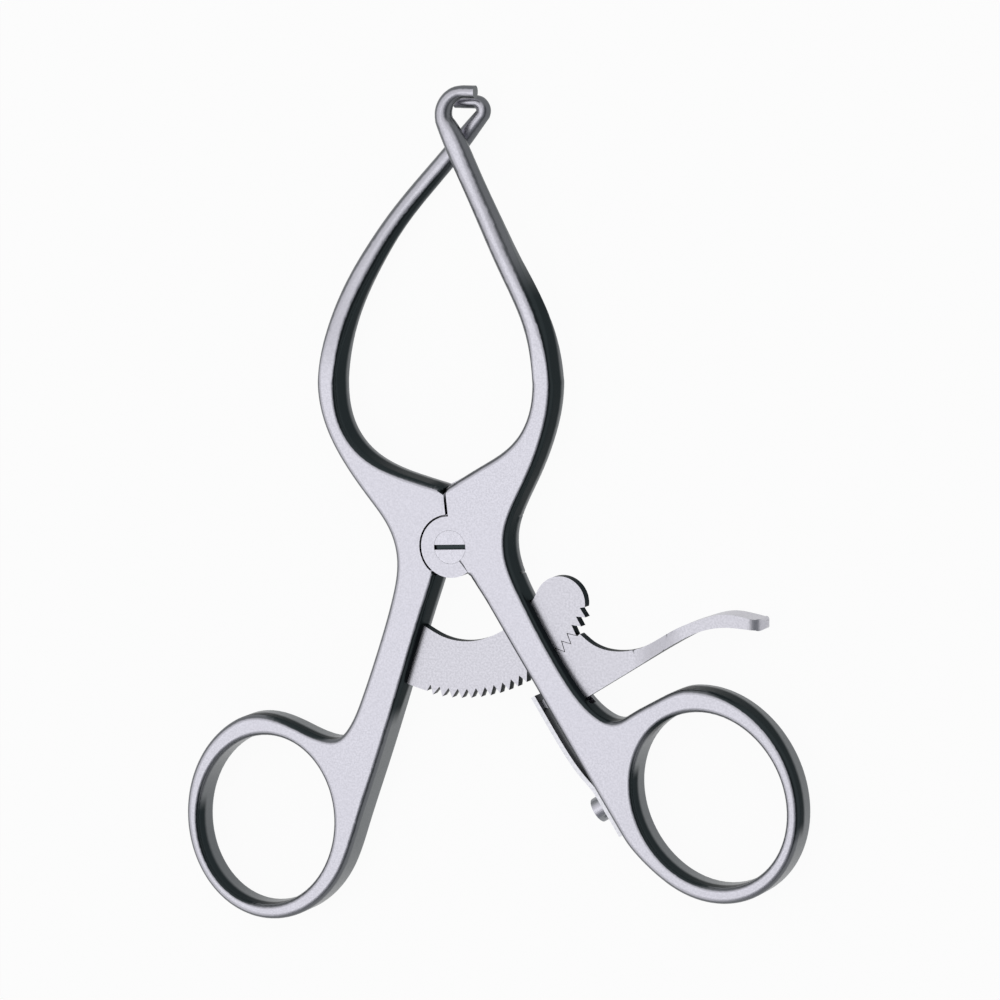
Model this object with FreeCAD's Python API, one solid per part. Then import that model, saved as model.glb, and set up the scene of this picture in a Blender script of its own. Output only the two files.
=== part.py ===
import FreeCAD, Part
import os
from math import atan2, cos, pi, radians, sin

from FreeCAD import Vector

# A self retaining retractor with ring handles and one blunt hook on each jaw.
# Millimetres. The instrument lies on its back: Z is up, out of its front face.
# The origin is on the joint axis in the plane of the back face, and +Y points to the hooks.
# Squeezing the rings spreads the jaws. A toothed bar fixed to the left shank runs through a
# slot in the right shank, where a sprung lever catches its teeth and holds the jaws open.
# Angles around the joint are in degrees from straight down, positive to the right.

# Joint and forgings
THICKNESS = 8.0
EDGE_ROUND = 1.2
RING_ROUND = 1.1
LAP_PLANE = 4.0
LAP_GAP = 0.04
BOSS_RADIUS = 6.2
LAP_RADIUS = 14.2
BOSS_GAP = 0.4
STOP_GAP = 0.55
STOP_LAP = 0.5

# Joint screw
HEAD_RADIUS = 3.35
HEAD_DEPTH = 1.5
SCREW_RADIUS = 2.3
SCREW_SLOT = 1.0
SCREW_SLOT_DEPTH = 0.7
SCREW_SLOT_TURN = 3.5
TURNING_FIT = 0.04

# Jaws: where each leaves the flat forging, and the hooks
LEFT_JAW = (-26.95, 32.0)
RIGHT_JAW = (19.6, 33.5)
LEFT_JAW_WIDTH = 4.25
RIGHT_JAW_WIDTH = 4.45
# Each hook: centre and radius of its bend, the bend's two angles, the rod's width at the
# start and at the end of the bend, and the length of its straight prong
LEFT_HOOK = ((3.15, 87.1), 1.7, -28.0, 90.0, 3.0, 2.7, 4.3)
RIGHT_HOOK = ((2.45, 86.5), 4.5, 196.0, 90.0, 3.6, 2.6, 2.35)

# Finger rings: hole centre, half length, half width, lean of the long axis to the left
LEFT_RING = (-40.75, -58.35, 17.55, 14.95, -6.4)
RIGHT_RING = (55.2, -47.75, 17.95, 15.55, 28.5)
# The rim round each: its centre from the hole's, and its walls at the ends and at the sides
LEFT_RIM = (0.9, 1.0, 3.95, 3.65)
RIGHT_RIM = (-0.7, 0.65, 4.15, 3.3)

# Left shank: two points of its inner edge, between which the bar is let in
LEFT_SHANK_EDGE = ((-6.4, -15.5), (-11.8, -32.6))

# Right shank: its direction, and the straight inner edge that the spring lies on
SHANK_ANGLE = 31.3
INNER_EDGE_TOP = (14.0, 0.95)
INNER_EDGE_END = (67.5, 2.2)

# Slot in the right shank, measured along the shank from the joint
SLOT_TOP = 17.1
SLOT_END = 41.2
SLOT_SIDES = (-4.0, 16.0)
PLATE = 2.4
PLATE_GAP = 0.15

# Toothed bar: the radii and angles of its toothed edge, its inner edge and its ends
TOOTH_ROOT = 29.05
TOOTH_TIP = 30.95
TOOTH_PITCH = 3.9
TOOTH_LEAN = 1.6
FIRST_TOOTH = -10.6
LAST_ROOT = 67.4
PLAIN_RADIUS = 30.5
BAR_INNER = 19.6
BAR_WAIST = 18.85
BAR_HEEL = 17.9
BAR_END_ANGLE = 65.4
CAP_RADIUS = 5.3
BAR_START_ANGLE = -34.0
BAR_SEAT = 4.2
SEAT_GAP = 0.02
RIVET_RADIUS = 0.8
RIVET_MARGIN = 3.0

# Release lever: its pivot along and across the right shank, and its shape from there
PIVOT_ALONG = 33.9
PIVOT_ACROSS = 3.5
PIN_RADIUS = 0.9
PIN_FIT = 0.03
MESH_GAP = 0.3
LEVER_TEETH = 3
LEVER_START_ANGLE = 47.9
CROWN_RISE = 0.25
CROWN_TURN = 1.2
HIDDEN_RISE = 0.3
LEVER_INSET = 0.35
HEEL_SPAN = (2.0, 3.4)
FOOT = (5.2, -0.1)
LOW_START = (5.75, 4.9)
FINGER_WIDTH = 6.4
FINGER_WIDENS = (37.0, 51.0)
FINGER_END = 66.2
FINGER_LEVEL = -12.3
FINGER_THICKNESS = 2.1
FINGER_NOSE = 1.7

# Leaf spring and its screw
SPRING_THICKNESS = 0.9
SPRING_WIDTH = 5.4
SPRING_STAND_OFF = 1.45
SPRING_PAST_PIN = 0.3
SPRING_TAIL = 6.8
HEEL_GAP = 0.05
SPRING_SCREW_ALONG = 60.2
SPRING_SCREW_RADIUS = 1.2
SPRING_HEAD_RADIUS = 2.6
SPRING_HEAD_HEIGHT = 2.1
SPRING_SLOT = 0.7
SPRING_SLOT_DEPTH = 0.95
SPRING_SCREW_LENGTH = 4.6

UP = Vector(0, 0, 1)
FAR = 200.0


def flat(x, y, z=0.0):
    return Vector(x, y, z)


def around(radius, angle, z=0.0):
    """A point at a radius from the joint axis, at an angle from straight down."""
    a = radians(angle)
    return Vector(radius * sin(a), -radius * cos(a), z)


def on_shank(along, across, z=0.0):
    """A point along the right shank from the joint, and across it to the right."""
    a = radians(SHANK_ANGLE)
    return Vector(along * sin(a) + across * cos(a), -along * cos(a) + across * sin(a), z)


def inner_edge(along):
    """How far across the shank its straight inner edge lies."""
    (s0, q0), (s1, q1) = INNER_EDGE_TOP, INNER_EDGE_END
    return q0 + (along - s0) * (q1 - q0) / (s1 - s0)


def line(a, b):
    return Part.LineSegment(a, b).toShape()


def arc(a, b, c):
    return Part.Arc(a, b, c).toShape()


def polyline(points):
    return [line(a, b) for a, b in zip(points, points[1:])]


def spline(points, start=None, end=None):
    """A smooth curve through the points, with its end directions given or taken from them."""
    first = Vector(start or points[1] - points[0]).normalize()
    last = Vector(end or points[-1] - points[-2]).normalize()
    curve = Part.BSplineCurve()
    curve.interpolate(Points=points, InitialTangent=first, FinalTangent=last, Scale=False)
    return curve.toShape()


def face(edges):
    return Part.Face(Part.Wire(Part.__sortEdges__(edges)))


def slab(shape, low, high):
    """A flat face raised to a solid between two heights."""
    moved = shape.copy()
    moved.translate(Vector(0, 0, low))
    return moved.extrude(Vector(0, 0, high - low))


def disc(radius, low, high, centre=Vector(0, 0, 0)):
    return Part.makeCylinder(radius, high - low, centre + Vector(0, 0, low), UP)


# Forgings


def ring_curve(ring, rim=(0, 0, 0, 0)):
    """The ellipse of a finger ring's hole, or of the rim round it."""
    x, y, half_length, half_width, lean = ring
    aside, up, end_wall, side_wall = rim
    a = radians(lean)
    centre = Vector(x + aside, y + up, 0)
    along = Vector(-sin(a), cos(a), 0) * (half_length + end_wall)
    across = Vector(-cos(a), -sin(a), 0) * (half_width + side_wall)
    return Part.Ellipse(centre + along, centre + across, centre)


def join(curve, near):
    """Parameter, point and direction of a curve nearest to a point."""
    u = curve.parameter(near)
    return u, curve.value(u), Vector(*curve.tangent(u)[0])


def arc_of(ellipse, start, end):
    """An ellipse from one parameter to a later one."""
    while end <= start:
        end += 2 * pi
    return Part.ArcOfEllipse(ellipse, start, end).toShape()


def thinnest(rim):
    aside, up, end_wall, side_wall = rim
    return min(end_wall, side_wall) - max(abs(aside), abs(up))


def round_edges(solid, keep, radius):
    """Round the front and back edges of a forging whose middle passes the test."""
    edges = []
    for edge in solid.Edges:
        box = edge.BoundBox
        upright = box.ZLength > THICKNESS / 2
        if not upright and keep(edge.CenterOfMass):
            edges.append(edge)
    return solid.makeFillet(radius, edges)


def forging(outline, ring, rim, bare):
    """One arm in the flat: its outline raised, rounded, and pierced for the finger ring."""
    body = slab(face(outline), 0, THICKNESS)
    body = round_edges(body, lambda p: not bare(p), EDGE_ROUND)
    hole = slab(Part.Face(Part.Wire(ring_curve(ring).toShape())), -1, THICKNESS + 1)
    body = body.cut(hole)
    rims = [edge for edge in body.Edges if edge.isClosed()]
    return body.makeFillet(min(RING_ROUND, 0.95 * (thinnest(rim) - EDGE_ROUND)), rims)


def left_outline():
    jaw_x, jaw_y = LEFT_JAW
    half = LEFT_JAW_WIDTH / 2
    down = Vector(0, -1, 0)
    notch = flat(-1.55, 11.7)
    stop = flat(-0.95, BOSS_RADIUS + 0.2)
    shank = flat(-3.1, -5.7)
    inner = spline([flat(jaw_x + half, jaw_y), flat(-24.5, 27.4), flat(-22.95, 22.6),
                    flat(-19.55, 18.35), flat(-14.6, 15.4), flat(-8.6, 13.45), notch], down)
    rim = ring_curve(LEFT_RING, LEFT_RIM)
    u_low, low, low_way = join(rim, flat(-24.4, -67.2))
    u_top, top, top_way = join(rim, flat(-47.5, -37.5))
    above_bar, below_bar = LEFT_SHANK_EDGE
    right = spline([shank, flat(*above_bar), flat(*below_bar), flat(-17.2, -49.0),
                    flat(-20.35, -58.3), low], end=low_way * -1)
    crotch = spline([top, flat(-42.1, -36.7), flat(-37.8, -37.3), flat(-33.6, -38.75),
                     flat(-28.65, -40.5), flat(-24.9, -40.5),
                     flat(-22.4, -38.0), flat(-19.7, -32.2), flat(-15.8, -21.0),
                     flat(-12.85, -11.0), flat(-11.85, -3.0), flat(-13.5, 2.75),
                     flat(-17.85, 8.7), flat(-23.4, 15.9), flat(-27.25, 22.95),
                     flat(jaw_x - half, jaw_y)], top_way * -1, Vector(0, 1, 0))
    return [
        inner,
        line(notch, stop),
        line(stop, shank),
        right,
        arc_of(rim, u_top, u_low),
        crotch,
        line(flat(jaw_x - half, jaw_y), flat(jaw_x + half, jaw_y)),
    ]


def right_outline(stop_gap=STOP_GAP):
    jaw_x, jaw_y = RIGHT_JAW
    half = RIGHT_JAW_WIDTH / 2
    notch = flat(-1.55 + stop_gap, 11.85)
    stop = flat(-0.95 + stop_gap, BOSS_RADIUS + 0.2)
    inner = spline([flat(jaw_x - half, jaw_y), flat(16.85, 28.4), flat(14.7, 23.3),
                    flat(11.4, 19.75), flat(6.15, 16.35), notch], Vector(0, -1, 0))
    edge_top = on_shank(*INNER_EDGE_TOP)
    edge_end = on_shank(*INNER_EDGE_END)
    way = edge_end - edge_top
    shank = flat(4.1, -5.7)
    rim = ring_curve(RIGHT_RING, RIGHT_RIM)
    u_low, low, low_way = join(rim, flat(46.0, -65.0))
    u_top, top, top_way = join(rim, flat(50.5, -25.8))
    outer = spline([flat(jaw_x + half, jaw_y), flat(21.35, 28.0), flat(19.7, 21.6),
                    flat(16.95, 14.7), flat(13.9, 8.4), flat(12.2, 2.9), flat(12.5, -1.9),
                    flat(15.6, -9.3), flat(19.85, -16.95), flat(24.15, -23.85),
                    flat(28.95, -29.95), flat(32.25, -32.45), flat(34.75, -33.25),
                    flat(38.8, -31.35), flat(43.45, -28.65), top],
                   Vector(0, -1, 0), top_way * -1)
    return [
        inner,
        line(notch, stop),
        line(stop, shank),
        spline([shank, edge_top], Vector(0.55, -0.83, 0), way),
        line(edge_top, edge_end),
        spline([edge_end, on_shank(72.4, 3.0), low], way, low_way),
        arc_of(rim, u_low, u_top),
        outer,
        line(flat(jaw_x + half, jaw_y), flat(jaw_x - half, jaw_y)),
    ]


def section(place, way, width, depth, corner):
    """A rounded rectangle standing across a jaw."""
    side = Vector(way.y, -way.x, 0).normalize()
    corner = min(corner, 0.47 * width, 0.47 * depth)
    half_w, half_d = width / 2, depth / 2
    in_w, in_d = half_w - corner, half_d - corner
    bow = corner * cos(pi / 4)

    def at(a, b):
        return place + side * a + UP * b

    edges = []
    for sign_w, sign_d in ((1, 1), (-1, 1), (-1, -1), (1, -1)):
        end_on_side = at(sign_w * half_w, sign_d * in_d)
        end_on_top = at(sign_w * in_w, sign_d * half_d)
        middle = at(sign_w * (in_w + bow), sign_d * (in_d + bow))
        if sign_w * sign_d > 0:
            edges.append(arc(end_on_side, middle, end_on_top))
            edges.append(line(end_on_top, at(-sign_w * in_w, sign_d * half_d)))
        else:
            edges.append(arc(end_on_top, middle, end_on_side))
            edges.append(line(end_on_side, at(sign_w * half_w, -sign_d * in_d)))
    return Part.Wire(edges)


def jaw(stations, hook):
    """A jaw tapering from the forging to a rod, bent round at the end into a hook."""
    centre, bend, start_angle, end_angle, thick, thin, length = hook
    turn = 1 if end_angle > start_angle else -1
    z = stations[-1][2]

    def on_bend(angle):
        a = radians(angle)
        place = Vector(centre[0] + bend * cos(a), centre[1] + bend * sin(a), z)
        return place, Vector(-sin(a), cos(a), 0) * turn

    start, way = on_bend(start_angle)
    places = [Vector(*s[:3]) for s in stations] + [start]
    path = Part.BSplineCurve()
    path.interpolate(Points=places, InitialTangent=Vector(0, 1, 0), FinalTangent=way,
                     Scale=False)
    wires = []
    for place, station in zip(places, stations):
        ahead = Vector(*path.tangent(path.parameter(place))[0])
        wires.append(section(place, Vector(ahead.x, ahead.y, 0), *station[3:]))
    first = section(start, way, thick, thick, thick)
    arm = Part.makeLoft(wires + [first], True, False)

    bend_steps = 5
    wires = []
    for i in range(bend_steps + 1):
        share = i / bend_steps
        size = thick + (thin - thick) * share
        place, way = on_bend(start_angle + (end_angle - start_angle) * share)
        wires.append(section(place, way, size, size, size))
    for share in (0.33, 0.67, 1.0):
        wires.append(section(place + way * (length * share), way, thin, thin, thin))
    return arm.fuse(Part.makeLoft(wires, True, False))


def left_arm():
    body = forging(left_outline(), LEFT_RING, LEFT_RIM,
                   lambda p: near_joint(p) or at_jaw(p, LEFT_JAW))
    stations = [
        (*LEFT_JAW, THICKNESS / 2, LEFT_JAW_WIDTH, THICKNESS, EDGE_ROUND),
        (-26.7, 35.2, 3.95, 4.1, 7.85, 0.95),
        (-25.8, 40.3, 3.7, 4.25, 7.35, 1.3),
        (-23.1, 48.5, 3.15, 4.4, 6.25, 1.7),
        (-18.15, 57.95, 2.55, 4.3, 5.05, 1.9),
        (-13.2, 65.3, 2.15, 4.1, 4.25, 2.0),
        (-7.6, 72.0, 1.95, 4.0, 3.85, 2.0),
        (-1.6, 78.8, 1.85, 3.8, 3.6, 2.0),
    ]
    body = body.fuse(jaw(stations, LEFT_HOOK))
    lap = forging(right_outline(-STOP_LAP), RIGHT_RING, RIGHT_RIM,
                  lambda p: near_joint(p) or at_jaw(p, RIGHT_JAW))
    body = body.fuse(lap.common(disc(LAP_RADIUS, 0, LAP_PLANE - LAP_GAP)))
    body = body.fuse(disc(BOSS_RADIUS, 0, LAP_PLANE - LAP_GAP))
    body = body.cut(disc(BOSS_RADIUS + BOSS_GAP, LAP_PLANE - LAP_GAP, THICKNESS + 1))
    body = body.cut(disc(SCREW_RADIUS, -1, LAP_PLANE))
    body = body.cut(slab(bar_outline(SEAT_GAP), *plate_heights(SEAT_GAP)))
    for place in rivet_places():
        body = body.cut(disc(RIVET_RADIUS, -1, THICKNESS + 1, place))
    return body.removeSplitter()


def right_arm():
    body = forging(right_outline(), RIGHT_RING, RIGHT_RIM,
                   lambda p: near_joint(p) or at_jaw(p, RIGHT_JAW))
    stations = [
        (*RIGHT_JAW, THICKNESS / 2, RIGHT_JAW_WIDTH, THICKNESS, EDGE_ROUND),
        (19.25, 37.0, 4.05, 4.2, 7.85, 0.95),
        (18.4, 41.7, 4.2, 4.35, 7.45, 1.4),
        (15.45, 49.8, 4.65, 4.5, 6.6, 1.9),
        (11.2, 58.2, 5.25, 4.65, 5.45, 2.1),
        (7.5, 66.0, 5.7, 4.7, 4.55, 2.2),
        (4.0, 73.3, 5.9, 4.55, 4.1, 2.2),
        (0.95, 79.8, 6.05, 4.6, 3.8, 2.3),
    ]
    body = body.fuse(jaw(stations, RIGHT_HOOK))
    body = body.fuse(disc(BOSS_RADIUS, LAP_PLANE, THICKNESS))
    body = body.cut(disc(LAP_RADIUS + BOSS_GAP, -1, LAP_PLANE))
    body = body.cut(disc(SCREW_RADIUS + TURNING_FIT, -1, THICKNESS + 1))
    body = body.cut(disc(HEAD_RADIUS + TURNING_FIT, THICKNESS - HEAD_DEPTH, THICKNESS + 1))
    low, high = plate_heights(PLATE_GAP)
    inside, outside = SLOT_SIDES
    corners = [on_shank(SLOT_TOP, inside), on_shank(SLOT_TOP, outside),
               on_shank(SLOT_END, outside), on_shank(SLOT_END, inside)]
    body = body.cut(slab(face(polyline(corners + corners[:1])), low, high))
    body = body.cut(disc(PIN_RADIUS, -1, THICKNESS + 1, on_shank(PIVOT_ALONG, PIVOT_ACROSS)))
    body = body.cut(spring_screw_bore(SPRING_SCREW_LENGTH))
    return body.removeSplitter()


def near_joint(p):
    """Edges inside the joint and along the stop faces stay sharp."""
    inside = (p.x ** 2 + p.y ** 2) ** 0.5 < BOSS_RADIUS + 0.1
    at_stop = abs(p.x + 1.0) < 0.8 and 0 < p.y < 12.0
    return inside or at_stop


def at_jaw(p, place):
    return abs(p.x - place[0]) < 0.3 and abs(p.y - place[1]) < 0.01


# Toothed bar and its rivets


def plate_heights(gap=0.0):
    """Back and front of the bar and the lever, halfway through the joint."""
    middle = THICKNESS / 2
    return middle - PLATE / 2 - gap, middle + PLATE / 2 + gap


def teeth_to(angle):
    """How many whole teeth the bar has up to an angle."""
    return round((angle - FIRST_TOOTH) / TOOTH_PITCH)


def teeth():
    """Root and tip points of the bar's teeth, from its fixed end to its free end."""
    count = teeth_to(LAST_ROOT)
    points = []
    for i in range(count):
        angle = FIRST_TOOTH + i * TOOTH_PITCH
        points.append(around(TOOTH_ROOT, angle))
        points.append(around(TOOTH_TIP, angle + TOOTH_LEAN))
    points.append(around(TOOTH_ROOT, FIRST_TOOTH + count * TOOTH_PITCH))
    return points


def seat_line():
    """Two points on the line where the bar ends inside the left shank."""
    a, b = [flat(*point) for point in LEFT_SHANK_EDGE]
    way = (b - a).normalize()
    inward = Vector(way.y, -way.x, 0)
    return a - way * 20 + inward * BAR_SEAT, b + way * 20 + inward * BAR_SEAT, inward


def bar_outline(grow=0.0):
    """The bar in the flat, or the seat for it when grown by a gap."""
    cap_centre = around(BAR_INNER + CAP_RADIUS, BAR_END_ANGLE)
    cap_start = cap_centre + around(CAP_RADIUS, BAR_END_ANGLE + 18)
    cap_side = cap_centre + around(CAP_RADIUS, BAR_END_ANGLE + 90)
    cap_top = around(BAR_INNER, BAR_END_ANGLE)
    toothed = teeth()
    inner = BAR_INNER - grow
    plain = PLAIN_RADIUS + grow
    plain_end = FIRST_TOOTH - 1
    plain_start = around(plain, BAR_START_ANGLE)
    heel = around(BAR_HEEL - grow, BAR_START_ANGLE + 10)
    edges = [
        arc(plain_start, around(plain, plain_end - 5), around(plain, plain_end)),
        line(around(plain, plain_end), toothed[0]),
        *polyline(toothed),
        line(toothed[-1], cap_start),
        arc(cap_start, cap_side, cap_top),
        arc(cap_top, around(inner, 40), around(inner, 16)),
        spline([around(inner, 16), around(BAR_WAIST - grow, -8), heel],
               around(1, 16 - 90), around(1, BAR_START_ANGLE - 85)),
        line(heel, plain_start),
    ]
    start, end, inward = seat_line()
    edge = inward * grow
    beyond = inward * -60
    corners = [start + edge, end + edge, end + beyond, start + beyond]
    return face(edges).common(face(polyline(corners + corners[:1])))


def rivet_places():
    """Two rivets on the middle line of the seat, as far inside the bar's two edges."""
    start, end, inward = seat_line()
    way = (end - start).normalize()
    reach = inward.dot(start) - BAR_SEAT / 2
    places = []
    for radius in (BAR_HEEL + RIVET_MARGIN, PLAIN_RADIUS - RIVET_MARGIN):
        places.append(inward * reach + way * (radius ** 2 - reach ** 2) ** 0.5)
    return places


def toothed_bar():
    bar = slab(bar_outline(), *plate_heights())
    for place in rivet_places():
        bar = bar.cut(disc(RIVET_RADIUS, -1, THICKNESS + 1, place))
    return bar.removeSplitter()


def rivets():
    """The rivets, ground flush with the shank's two faces."""
    return Part.makeCompound([disc(RIVET_RADIUS, 0, THICKNESS, place)
                              for place in rivet_places()])


# Joint screw


def joint_screw():
    screw = disc(HEAD_RADIUS, THICKNESS - HEAD_DEPTH, THICKNESS)
    screw = screw.fuse(disc(SCREW_RADIUS, 0, THICKNESS - HEAD_DEPTH))
    slot = Part.makeBox(3 * HEAD_RADIUS, SCREW_SLOT, HEAD_DEPTH)
    slot.translate(Vector(-1.5 * HEAD_RADIUS, -SCREW_SLOT / 2, THICKNESS - SCREW_SLOT_DEPTH))
    slot.rotate(Vector(0, 0, 0), UP, SCREW_SLOT_TURN)
    return screw.cut(slot).removeSplitter()


# Release lever


def lever_teeth():
    """The lever's toothed edge: it fills the bar's gaps, a small clearance off them."""
    first = teeth_to(LEVER_START_ANGLE)
    points = []
    for i in range(first, first + LEVER_TEETH):
        root = FIRST_TOOTH + i * TOOTH_PITCH
        points.append(around(TOOTH_TIP + MESH_GAP, root - TOOTH_PITCH + TOOTH_LEAN))
        points.append(around(TOOTH_ROOT + MESH_GAP, root))
    points.append(around(TOOTH_TIP + MESH_GAP, root + TOOTH_LEAN))
    return points, root + TOOTH_LEAN


def lever_back():
    """The lever's outline inside the shank's slot, from under the finger to the teeth."""

    def from_pivot(along, across):
        return on_shank(PIVOT_ALONG + along, PIVOT_ACROSS + across)

    heel = SPRING_STAND_OFF - HEEL_GAP
    start, end = [PIVOT_ALONG + along for along in HEEL_SPAN]
    inset = inner_edge(PIVOT_ALONG) + LEVER_INSET - PIVOT_ACROSS
    return [from_pivot(*LOW_START), from_pivot(*FOOT),
            on_shank(end, inner_edge(end) - heel), on_shank(start, inner_edge(start) - heel),
            from_pivot(1.0, inset), from_pivot(-2.0, inset)]


def release_lever():
    toothed, last_angle = lever_teeth()
    clear = TOOTH_TIP + MESH_GAP
    crown = around(clear + CROWN_RISE, last_angle + CROWN_TURN)
    tip = flat(FINGER_END, FINGER_LEVEL)
    nose = FINGER_THICKNESS / 2
    tip_low = tip + Vector(-FINGER_NOSE, -nose, 0)
    tip_high = tip + Vector(-FINGER_NOSE, nose, 0)
    hidden = clear + HIDDEN_RISE
    hidden_end = around(hidden, SHANK_ANGLE + 3.6)
    hidden_start = around(hidden, LEVER_START_ANGLE - 3.3)
    back = lever_back()
    edges = polyline(toothed) + [
        line(toothed[-1], crown),
        spline([crown, flat(28.9, -18.0), flat(31.2, -19.05), flat(34.4, -19.5),
                flat(38.6, -18.9), flat(43.6, -16.5), flat(48.2, -13.8), flat(53.0, -11.8),
                flat(58.2, -10.5), tip_high]),
        arc(tip_high, tip, tip_low),
        spline([tip_low, flat(58.6, -13.1), flat(53.6, -14.0), flat(48.2, -16.6),
                flat(39.6, -22.0), back[0]]),
        *polyline(back + [hidden_end]),
        arc(hidden_end, around(hidden, (SHANK_ANGLE + LEVER_START_ANGLE) / 2), hidden_start),
        line(hidden_start, toothed[0]),
    ]
    lever = slab(face(edges), 0, THICKNESS).common(lever_edge_on())
    pivot = on_shank(PIVOT_ALONG, PIVOT_ACROSS)
    return lever.cut(disc(PIN_RADIUS + PIN_FIT, -1, THICKNESS + 1, pivot)).removeSplitter()


def lever_edge_on():
    """The lever's shape seen along Y: a plate that widens to a round-ended finger pad."""
    half_plate, half_finger = PLATE / 2, FINGER_WIDTH / 2
    narrow, wide = FINGER_WIDENS
    round_start = FINGER_END - half_finger

    def at(x, height):
        return Vector(x, -FAR, THICKNESS / 2 + height)

    edges = [
        line(at(0, -half_plate), at(narrow, -half_plate)),
        spline([at(narrow, -half_plate), at(wide, -half_finger)], Vector(1, 0, 0),
               Vector(1, 0, 0)),
        line(at(wide, -half_finger), at(round_start, -half_finger)),
        arc(at(round_start, -half_finger), at(FINGER_END, 0), at(round_start, half_finger)),
        line(at(round_start, half_finger), at(wide, half_finger)),
        spline([at(wide, half_finger), at(narrow, half_plate)], Vector(-1, 0, 0),
               Vector(-1, 0, 0)),
        line(at(narrow, half_plate), at(0, half_plate)),
        line(at(0, half_plate), at(0, -half_plate)),
    ]
    return face(edges).extrude(Vector(0, 2 * FAR, 0))


def lever_pin():
    return disc(PIN_RADIUS, 0, THICKNESS, on_shank(PIVOT_ALONG, PIVOT_ACROSS))


# Leaf spring and its screw


def spring_screw_start():
    """Where the screw's axis leaves the outer face of the spring."""
    seat = on_shank(SPRING_SCREW_ALONG, inner_edge(SPRING_SCREW_ALONG), THICKNESS / 2)
    return seat - square_in() * SPRING_THICKNESS


def spring_screw_bore(depth):
    """A round bar square to the shank's inner edge, from outside the spring inwards."""
    return Part.makeCylinder(SPRING_SCREW_RADIUS, depth, spring_screw_start(), square_in())


def square_in():
    """Direction into the right shank, square to its inner edge."""
    way = on_shank(*INNER_EDGE_END) - on_shank(*INNER_EDGE_TOP)
    return Vector(-way.y, way.x, 0).normalize()


def leaf_spring():
    inward = square_in()
    base_end = SPRING_SCREW_ALONG + SPRING_TAIL
    base_start = SPRING_SCREW_ALONG - SPRING_HEAD_RADIUS - 0.2
    free_end = PIVOT_ALONG + SPRING_PAST_PIN
    free_length = base_start - free_end
    base = [on_shank(s, inner_edge(s)) for s in (base_end, base_start)]
    along = (base[1] - base[0]).normalize()

    def free(share, lift):
        """A point at a share of the free length from the base, lifted off the shank."""
        s = base_start - free_length * share
        return on_shank(s, inner_edge(s) - SPRING_STAND_OFF * lift)

    inner = [base[1], free(0.15, 0.4), free(0.34, 0.84), free(0.62, 1.0), free(1.0, 1.0)]
    lift = inward * -SPRING_THICKNESS
    outer = [p + lift for p in inner]
    end_way = inner[-1] - inner[-2]
    edges = [
        line(base[0], base[1]),
        spline(inner, along, end_way),
        line(inner[-1], outer[-1]),
        spline(outer[::-1], end_way * -1, along * -1),
        line(base[1] + lift, base[0] + lift),
        line(base[0] + lift, base[0]),
    ]
    low = (THICKNESS - SPRING_WIDTH) / 2
    spring = slab(face(edges), low, low + SPRING_WIDTH)
    return spring.cut(spring_screw_bore(SPRING_SCREW_LENGTH)).removeSplitter()


def spring_screw():
    inward = square_in()
    start = spring_screw_start()
    shank = spring_screw_bore(SPRING_SCREW_LENGTH)
    head = Part.makeCylinder(SPRING_HEAD_RADIUS, SPRING_HEAD_HEIGHT, start, inward * -1)
    screw = shank.fuse(head)
    slot = Part.makeBox(3 * SPRING_HEAD_RADIUS, SPRING_HEAD_HEIGHT, SPRING_SLOT)
    slot.translate(Vector(-1.5 * SPRING_HEAD_RADIUS, SPRING_SLOT_DEPTH - SPRING_HEAD_HEIGHT,
                          -SPRING_SLOT / 2))
    turn = atan2(inward.y, inward.x) * 180 / pi - 90
    slot.rotate(Vector(0, 0, 0), UP, turn)
    slot.translate(start - inward * SPRING_HEAD_HEIGHT)
    return screw.cut(slot).removeSplitter()


PARTS = {
    "ratchet_arm": left_arm,
    "catch_arm": right_arm,
    "joint_screw": joint_screw,
    "ratchet_bar": toothed_bar,
    "ratchet_rivets": rivets,
    "release_lever": release_lever,
    "lever_pin": lever_pin,
    "leaf_spring": leaf_spring,
    "spring_screw": spring_screw,
}

os.makedirs("parts", exist_ok=True)
for name, make in PARTS.items():
    shape = make()
    print(name, len(shape.Solids), shape.isValid(), round(shape.Volume, 1))
    shape.exportStep("parts/%s.step" % name)
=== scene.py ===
"""A self retaining retractor with ring handles, lying on its back on a pale floor."""

from math import radians

import bmesh
import bpy
from mathutils import Matrix, Vector


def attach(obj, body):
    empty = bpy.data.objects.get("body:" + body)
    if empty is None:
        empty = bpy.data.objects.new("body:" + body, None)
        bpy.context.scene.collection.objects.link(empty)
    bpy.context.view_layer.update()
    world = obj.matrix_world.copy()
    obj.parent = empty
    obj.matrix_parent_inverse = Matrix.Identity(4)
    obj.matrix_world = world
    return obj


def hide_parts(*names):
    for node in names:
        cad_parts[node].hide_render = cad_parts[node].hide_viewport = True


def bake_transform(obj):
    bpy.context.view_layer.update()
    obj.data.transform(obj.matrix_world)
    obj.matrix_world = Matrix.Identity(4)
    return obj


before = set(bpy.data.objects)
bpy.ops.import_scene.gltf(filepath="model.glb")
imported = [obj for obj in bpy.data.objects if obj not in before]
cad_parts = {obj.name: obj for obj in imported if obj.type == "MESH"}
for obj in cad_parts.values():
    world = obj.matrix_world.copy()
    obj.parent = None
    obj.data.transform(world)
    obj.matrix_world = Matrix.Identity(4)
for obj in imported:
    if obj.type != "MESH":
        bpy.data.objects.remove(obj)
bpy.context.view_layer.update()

# Left arm, with the bar's seat: one drop forging of martensitic stainless steel. Its flat
# faces are blasted to a fine satin. Its side walls are ground and polished, so they mirror
# the room as a black band over a greyer foot, painted here so that it stays on the wall.

MM = 0.001


def rise(start, full, low=0.0, high=1.0):
    """What sets a Map Range node to go smoothly from low, at start, to high, at full."""
    return {"interpolation_type": "SMOOTHSTEP", "From Min": start, "From Max": full,
            "To Min": low, "To Max": high}


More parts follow.
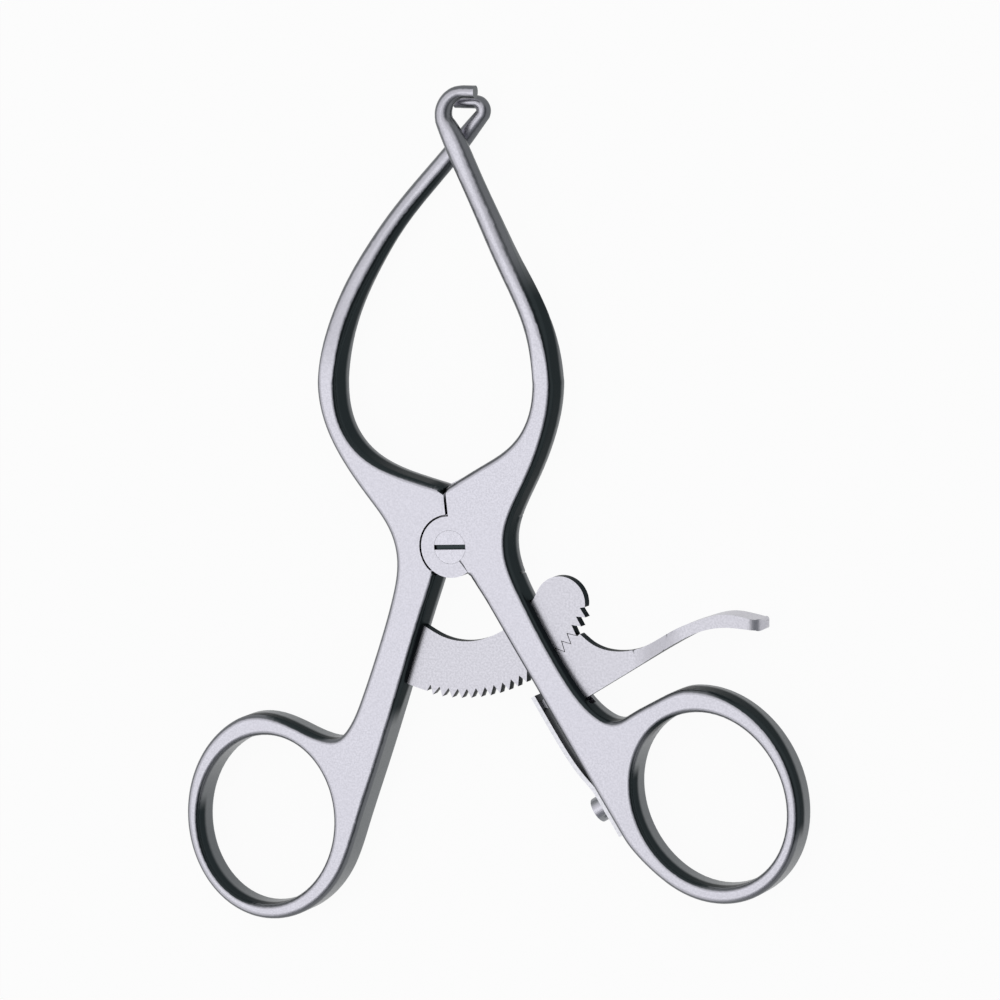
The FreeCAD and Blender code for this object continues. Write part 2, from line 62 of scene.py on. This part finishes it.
# How level a surface lies, from 1 to 0, where a fillet is painted grey and a wall is full
FILLET = rise(0.97, 0.8)
WALL = rise(0.3, 0.12)
# The steep fillets on the right side are painted black too, as a reflection
DARK_FILLET = rise(0.94, 0.86)
DARK_SIDE = (1.0, 0.1, 0.0)
ASIDE = rise(0.1, 0.3)
# The painted band's lower edge climbs from the arms to the rings, and ends softly
BAND_HEIGHT = rise(-20 * MM, -42 * MM, 2.4 * MM, 4.6 * MM)
BAND_SOFT = rise(-0.8 * MM, 0.8 * MM)
# Below the bar, walls that face the rings' end have no painted band, and it fades out at the hook
BELOW_BAR = rise(-33 * MM, -38 * MM)
FACES_DOWN = rise(-0.05, -0.25)
LEFT_ROD = rise(84 * MM, 72 * MM)
NOWHERE = rise(1.0, 1.1)
# How strong the blasted grain is in colour and in roughness, over the noise's usual values
GRAIN_VALUES = (0.3, 0.7)
GRAIN = 0.1
ROUGHER = 0.06
WHITE = "#FFFFFF"
GRAZING = "#B3B3B3"


def linear(hex_colour):
    """An sRGB hex colour as the linear values that a shader takes."""
    channels = [int(hex_colour[i:i + 2], 16) / 255 for i in (1, 3, 5)]
    return [c / 12.92 if c <= 0.04045 else ((c + 0.055) / 1.055) ** 2.4 for c in channels] + [1]


def add(tree, kind, settings=(), links=()):
    """A node of a kind, with its sockets or properties set and its inputs linked."""
    node = tree.nodes.new(kind)
    for name, value in dict(settings).items():
        if isinstance(name, int) or name in node.inputs:
            node.inputs[name].default_value = value
        else:
            setattr(node, name, value)
    for name, source in dict(links).items():
        tree.links.new(source, node.inputs[name])
    return node


def steel(name, face, fillet, wall, foot, roughness, grain_mm, rod=LEFT_ROD,
          unpainted_from=NOWHERE, shade_depth=NOWHERE):
    """Stainless steel: satin faces, and a painted reflection of the room on the rest.

    The fillets are painted grey, and those on the right black where steep. The walls are
    painted a black band over a greyer foot, and the band fades out along the jaw's rod. Along
    X, from where it is given, walls and fillets keep the faces' colour with no painted
    reflection. Below the depth it is given, the slot is painted dark, as painted shade. Real
    blasting leaves pits of about 0.1 mm, too fine to show, so the grain is drawn three or
    four times as coarse."""
    material = bpy.data.materials.new(name)
    material.use_nodes = True
    tree = material.node_tree
    shader = tree.nodes["Principled BSDF"]
    shader.inputs["Metallic"].default_value = 1.0
    place = add(tree, "ShaderNodeTexCoord")
    point = add(tree, "ShaderNodeSeparateXYZ", links={0: place.outputs["Object"]})
    facing = add(tree, "ShaderNodeSeparateXYZ", links={0: place.outputs["Normal"]})
    blast = add(tree, "ShaderNodeTexNoise", {"Scale": 1 / (grain_mm * MM), "Detail": 2.0},
                {"Vector": place.outputs["Object"]})
    grain = add(tree, "ShaderNodeMapRange", rise(*GRAIN_VALUES, 0.0, GRAIN),
                {"Value": blast.outputs["Fac"]})
    rough = add(tree, "ShaderNodeMapRange", rise(*GRAIN_VALUES, roughness, roughness + ROUGHER),
                {"Value": blast.outputs["Fac"]})

    level = add(tree, "ShaderNodeMath", {"operation": "ABSOLUTE"}, {0: facing.outputs["Z"]})
    # From where it is given along X, surfaces count as flat, so no painted reflection is laid on
    # them
    unpainted_end = add(tree, "ShaderNodeMapRange", unpainted_from, {"Value": point.outputs["X"]})
    flat = add(tree, "ShaderNodeMath", {"operation": "MAXIMUM"},
               {0: level.outputs[0], 1: unpainted_end.outputs[0]})
    on_fillet = add(tree, "ShaderNodeMapRange", FILLET, {"Value": flat.outputs[0]})
    on_wall = add(tree, "ShaderNodeMapRange", WALL, {"Value": flat.outputs[0]})
    steep = add(tree, "ShaderNodeMapRange", DARK_FILLET, {"Value": flat.outputs[0]})
    rightwards = add(tree, "ShaderNodeVectorMath", {"operation": "DOT_PRODUCT", 1: DARK_SIDE},
                     {0: place.outputs["Normal"]})
    aside = add(tree, "ShaderNodeMapRange", ASIDE, {"Value": rightwards.outputs["Value"]})
    dark_fillet = add(tree, "ShaderNodeMath", {"operation": "MULTIPLY"},
                      {0: steep.outputs[0], 1: aside.outputs[0]})
    dark = add(tree, "ShaderNodeMath", {"operation": "MAXIMUM"},
               {0: on_wall.outputs[0], 1: dark_fillet.outputs[0]})

    lower_edge = add(tree, "ShaderNodeMapRange", BAND_HEIGHT, {"Value": point.outputs["Y"]})
    over_edge = add(tree, "ShaderNodeMath", {"operation": "SUBTRACT"},
                    {0: point.outputs["Z"], 1: lower_edge.outputs[0]})
    in_band = add(tree, "ShaderNodeMapRange", BAND_SOFT, {"Value": over_edge.outputs[0]})
    on_arm = add(tree, "ShaderNodeMapRange", rod, {"Value": point.outputs["Y"]})
    below_bar = add(tree, "ShaderNodeMapRange", BELOW_BAR, {"Value": point.outputs["Y"]})
    downwards = add(tree, "ShaderNodeMapRange", FACES_DOWN, {"Value": facing.outputs["Y"]})
    bare = add(tree, "ShaderNodeMath", {"operation": "MULTIPLY"},
               {0: below_bar.outputs[0], 1: downwards.outputs[0]})
    kept = add(tree, "ShaderNodeMath", {"operation": "SUBTRACT", 0: 1.0}, {1: bare.outputs[0]})
    for share in (in_band, on_arm, kept):
        dark = add(tree, "ShaderNodeMath", {"operation": "MULTIPLY"},
                   {0: dark.outputs[0], 1: share.outputs[0]})

    # Below the depth it is given, the slot is painted dark, as painted shade
    in_slot_shade = add(tree, "ShaderNodeMapRange", shade_depth, {"Value": point.outputs["Z"]})
    # Over the face colour: the grain, then the painted reflection on fillets, foot and band
    layers = ((grain, fillet), (on_fillet, fillet), (on_wall, foot), (in_slot_shade, wall), (dark, wall))
    under = {}
    for share, colour in layers:
        coat = add(tree, "ShaderNodeMix", {"data_type": "RGBA", 6: linear(face), 7: linear(colour)},
                   {0: share.outputs[0], **under})
        under = {6: coat.outputs[2]}
    # The specular tint is greyed where the painted band is black
    sheen = add(tree, "ShaderNodeMix", {"data_type": "RGBA", 6: linear(WHITE), 7: linear(GRAZING)},
                {0: dark.outputs[0]})
    tree.links.new(coat.outputs[2], shader.inputs["Base Color"])
    tree.links.new(sheen.outputs[2], shader.inputs["Specular Tint"])
    tree.links.new(rough.outputs[0], shader.inputs["Roughness"])
    return material


MERGE = 0.01 * MM
SAME_PLANE = radians(0.1)
SHARP = radians(32)


def finished(node, material):
    """A copy of a forged or cut piece with its loose facets joined and smoothly shaded."""
    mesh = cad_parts[node].data.copy()
    facets = bmesh.new()
    facets.from_mesh(mesh)
    bmesh.ops.remove_doubles(facets, verts=facets.verts, dist=MERGE)
    bmesh.ops.dissolve_limit(facets, angle_limit=SAME_PLANE, verts=facets.verts,
                             edges=facets.edges)
    facets.to_mesh(mesh)
    facets.free()
    mesh.materials.clear()
    mesh.materials.append(material)
    mesh.shade_smooth()
    mesh.set_sharp_from_angle(angle=SHARP)
    piece = bpy.data.objects.new(node + "_finished", mesh)
    bpy.context.scene.collection.objects.link(piece)
    weigh = piece.modifiers.new("weighted", "WEIGHTED_NORMAL")
    weigh.keep_sharp = True
    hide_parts(node)
    return piece


# The face is the steel's own colour; fillet, wall and foot are painted reflection
FORGED = {"face": "#BDBCC5", "fillet": "#66686C", "wall": "#2E3436", "foot": "#565A5D",
          "roughness": 0.28, "grain_mm": 0.35}
forged_steel = steel("satin_forged_steel", **FORGED)
left_arm = finished("ratchet_arm", forged_steel)
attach(left_arm, "ratchet_arm")

# Right arm, with its front boss and the slot for the bar: the same forging and finish.
# The lap is milled, so the boss fits its pocket with a fine dark line round it. Its painted
# reflection band starts further from the hook than on the left jaw.

RIGHT_ROD = rise(61 * MM, 50 * MM)
right_forged_steel = steel("satin_forged_steel_right", **FORGED, rod=RIGHT_ROD)
right_arm = finished("catch_arm", right_forged_steel)
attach(right_arm, "catch_arm")

# Screw of the lap joint: turned steel with a slotted head, polished flush with the boss
# after it is set, so that little more than its slot shows.

# Its slot is painted dark below the head's face, as painted shade
SLOT_SHADE_DEPTH = rise(7.92 * MM, 7.85 * MM)
screw_steel = steel("polished_screw_steel", face="#BDBCC5", fillet="#66686C", wall="#2E3436",
                    foot="#2E3436", roughness=0.26, grain_mm=0.3, shade_depth=SLOT_SHADE_DEPTH)
joint_screw = finished("joint_screw", screw_steel)
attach(joint_screw, "ratchet_arm")

# Toothed bar and its rivets: the bar is blanked from cold-rolled strip, then tumbled, which
# leaves an even satin. The rivets are peened and ground flush with the arm, in its finish.

# The bar's and lever's walls and fillets carry the painted reflection too. Along this stretch of
# the lever's finger end it fades out, so they keep the face colour, and the hair bevel fades in.
FINGER_FADE = (40 * MM, 54 * MM)
plate_steel = steel("tumbled_strip_steel", face="#BDBCC4", fillet="#66686C", wall="#2A3032",
                    foot="#2A3032", roughness=0.3, grain_mm=0.4, unpainted_from=rise(*FINGER_FADE))
toothed_bar = finished("ratchet_bar", plate_steel)
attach(toothed_bar, "ratchet_arm")

rivets = finished("ratchet_rivets", forged_steel)
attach(rivets, "ratchet_arm")

# Release lever and its pin: cut from the same strip as the bar, with the finger end pressed
# out wider. The wide end is cut in slices here, so that it shades as one smooth curve. The
# pin is riveted flush in the right arm, in its finish.

lever = finished("release_lever", plate_steel)
MIDDLE = 4.0 * MM
PLATE_HALF = 1.2 * MM
PAD_HALF = 3.2 * MM
WIDENS = (37 * MM, 51 * MM)
FINGER = (36.5 * MM, 63 * MM)
SLICE = 0.5 * MM
NEAR = 0.1 * MM
CORNER = radians(40)
HAIR = 0.01 * MM
HAIR_STEPS = 4


def eased(value, start, full):
    """A share from 0 to 1 that eases in and out between two values."""
    share = min(max((value - start) / (full - start), 0), 1)
    return share * share * (3 - 2 * share)


finger = bmesh.new()
finger.from_mesh(lever.data)
for i in range(int((FINGER[1] - FINGER[0]) / SLICE) + 1):
    everything = [*finger.verts, *finger.edges, *finger.faces]
    bmesh.ops.bisect_plane(finger, geom=everything, plane_co=(FINGER[0] + i * SLICE, 0, 0),
                           plane_no=(1, 0, 0), dist=MERGE)
for vert in finger.verts:
    pad_half = PLATE_HALF + (PAD_HALF - PLATE_HALF) * eased(vert.co.x, *WIDENS)
    off_middle = vert.co.z - MIDDLE
    if FINGER[0] < vert.co.x < FINGER[1] and abs(abs(off_middle) - pad_half) < NEAR:
        vert.co.z = MIDDLE + (pad_half if off_middle > 0 else -pad_half)
finger.edges.ensure_lookup_table()
hair_shares = [eased(min(vert.co.x for vert in edge.verts), *FINGER_FADE)
               * (edge.calc_face_angle(0) > CORNER) for edge in finger.edges]
finger.to_mesh(lever.data)
finger.free()
weights = lever.data.attributes.new("bevel_weight_edge", "FLOAT", "EDGE")
weights.data.foreach_set("value", hair_shares)
lever.data.shade_smooth()
lever.data.set_sharp_from_angle(angle=SHARP)
# The slices leave no room for more than a hair of bevel, which keeps dark specks out of
# the shading along the corners
hair_bevel = lever.modifiers.new("hair", "BEVEL")
hair_bevel.limit_method = "WEIGHT"
hair_bevel.width = HAIR
hair_bevel.segments = HAIR_STEPS
lever.modifiers.move(1, 0)
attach(lever, "release_lever")

lever_pin = finished("lever_pin", forged_steel)
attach(lever_pin, "catch_arm")

# Leaf spring and its screw: a strip of hardened spring steel, held by the turned screw at
# its lower end and bent by the lever's heel at the other. Both are paler than the arms.

# Its fillets and walls are painted one grey, as a painted reflection
spring_steel = steel("spring_strip_steel", face="#C9C9CF", fillet="#77797C", wall="#77797C",
                     foot="#77797C", roughness=0.3, grain_mm=0.4)
spring = finished("leaf_spring", spring_steel)
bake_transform(spring)

# Its fillets and walls are painted one grey, as a painted reflection
turned_steel = steel("turned_screw_steel", face="#BDBCC5", fillet="#8A8C90", wall="#8A8C90",
                     foot="#8A8C90", roughness=0.28, grain_mm=0.3)
spring_screw = finished("spring_screw", turned_steel)
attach(spring_screw, "catch_arm")

# Floor: a table top of matt white laminate. It glows to the camera and in the metal, so
# that it stays white there, and its own shade under the glow keeps the object's shadow.

FLOOR_HALF = 1.5
GLOW_SHARE = 0.95


def seen_rays(tree):
    """A Light Path node, and 1 for the rays that show a background to the camera."""
    rays = add(tree, "ShaderNodeLightPath")
    seen = rays.outputs["Is Camera Ray"]
    for mirrored in ("Is Glossy Ray", "Is Transmission Ray"):
        seen = add(tree, "ShaderNodeMath", {"operation": "MAXIMUM"},
                   {0: seen, 1: rays.outputs[mirrored]}).outputs[0]
    return rays, seen


corners = [(-FLOOR_HALF, -FLOOR_HALF, 0), (FLOOR_HALF, -FLOOR_HALF, 0),
           (FLOOR_HALF, FLOOR_HALF, 0), (-FLOOR_HALF, FLOOR_HALF, 0)]
floor_mesh = bpy.data.meshes.new("table_top")
floor_mesh.from_pydata(corners, [], [(0, 1, 2, 3)])
floor = bpy.data.objects.new("table_top", floor_mesh)
bpy.context.scene.collection.objects.link(floor)
white_laminate = bpy.data.materials.new("white_laminate")
white_laminate.use_nodes = True
floor_tree = white_laminate.node_tree
laminate = floor_tree.nodes["Principled BSDF"]
laminate.inputs["Base Color"].default_value = linear("#FAFAFA")
laminate.inputs["Roughness"].default_value = 0.9
floor_rays, floor_seen = seen_rays(floor_tree)
glow_share = add(floor_tree, "ShaderNodeMath", {"operation": "MULTIPLY", 1: GLOW_SHARE},
                 {0: floor_seen})
glow = add(floor_tree, "ShaderNodeEmission", {"Color": linear(WHITE), "Strength": 1.0})
glowing = add(floor_tree, "ShaderNodeMixShader",
              links={0: glow_share.outputs[0], 1: laminate.outputs[0], 2: glow.outputs[0]})
floor_tree.links.new(glowing.outputs[0], floor_tree.nodes["Material Output"].inputs["Surface"])
floor_mesh.materials.append(white_laminate)

# Light: a white studio tent, which the metal mirrors. High on the right and towards the
# rings it is open to the dim room, which shades the metal there. One soft lamp stands
# where the flat faces mirror it to the camera.

TENT_LIGHT = 0.55
OPENING_WAY = (0.8, -0.6, 0.1)
OPENING_EDGE = rise(0.2, 0.35)
OPENING_FOOT = rise(0.35, 0.5)
DIM_ROOM = "#8C8F92"

world = bpy.data.worlds.new("studio_tent")
bpy.context.scene.world = world
world.use_nodes = True
tent = world.node_tree
tent_rays, tent_seen = seen_rays(tent)
strength = add(tent, "ShaderNodeMapRange", {"To Min": TENT_LIGHT, "To Max": 1.0},
               {"Value": tent_seen})
way = add(tent, "ShaderNodeTexCoord")
towards = add(tent, "ShaderNodeVectorMath", {"operation": "DOT_PRODUCT", 1: OPENING_WAY},
              {0: way.outputs["Generated"]})
way_up = add(tent, "ShaderNodeSeparateXYZ", links={0: way.outputs["Generated"]})
opened = add(tent, "ShaderNodeMapRange", OPENING_EDGE, {"Value": towards.outputs["Value"]})
raised = add(tent, "ShaderNodeMapRange", OPENING_FOOT, {"Value": way_up.outputs["Z"]})
unseen = add(tent, "ShaderNodeMath", {"operation": "SUBTRACT", 0: 1.0},
             {1: tent_rays.outputs["Is Camera Ray"]})
for share in (raised, unseen):
    opened = add(tent, "ShaderNodeMath", {"operation": "MULTIPLY"},
                 {0: opened.outputs[0], 1: share.outputs[0]})
wall_colour = add(tent, "ShaderNodeMix",
                  {"data_type": "RGBA", 6: linear(WHITE), 7: linear(DIM_ROOM)},
                  {0: opened.outputs[0]})
tent.links.new(strength.outputs["Result"], tent.nodes["Background"].inputs["Strength"])
tent.links.new(wall_colour.outputs[2], tent.nodes["Background"].inputs["Color"])

LAMP_SIZE = 0.6
LAMP_WATTS = 0.8
LAMP_PLACE = Vector((-0.48, -0.17, 1.2))
softbox = bpy.data.lights.new("softbox", "AREA")
softbox.size = LAMP_SIZE
softbox.energy = LAMP_WATTS
lamp = bpy.data.objects.new("softbox", softbox)
lamp.location = LAMP_PLACE
lamp.rotation_euler = (-LAMP_PLACE).to_track_quat("-Z", "Y").to_euler()
bpy.context.scene.collection.objects.link(lamp)

# Camera: over the front and a little to the right and above, 1.2 m away, framed so that
# 200 mm fill the picture.

VIEW = Vector((0.37, 0.13, 0.92)).normalized()
DISTANCE = 1.2
PICTURE_WIDTH = 0.2
SENSOR = 36.0
AIM_RIGHT = 0.01014
AIM_UP = 0.00946
JOINT_FRONT = Vector((0, 0, 0.0082))
right = Vector((0, 1, 0)).cross(VIEW).normalized()
above = VIEW.cross(right)
aim = JOINT_FRONT + right * AIM_RIGHT + above * AIM_UP
camera_data = bpy.data.cameras.new("camera")
camera_data.sensor_width = SENSOR
camera_data.lens = SENSOR * DISTANCE / PICTURE_WIDTH
camera_data.clip_end = 10
camera = bpy.data.objects.new("camera", camera_data)
camera.location = aim + VIEW * DISTANCE
camera.rotation_euler = Matrix((right, above, VIEW)).transposed().to_euler()
bpy.context.scene.collection.objects.link(camera)
bpy.context.scene.camera = camera
bpy.context.scene.view_settings.view_transform = "Standard"
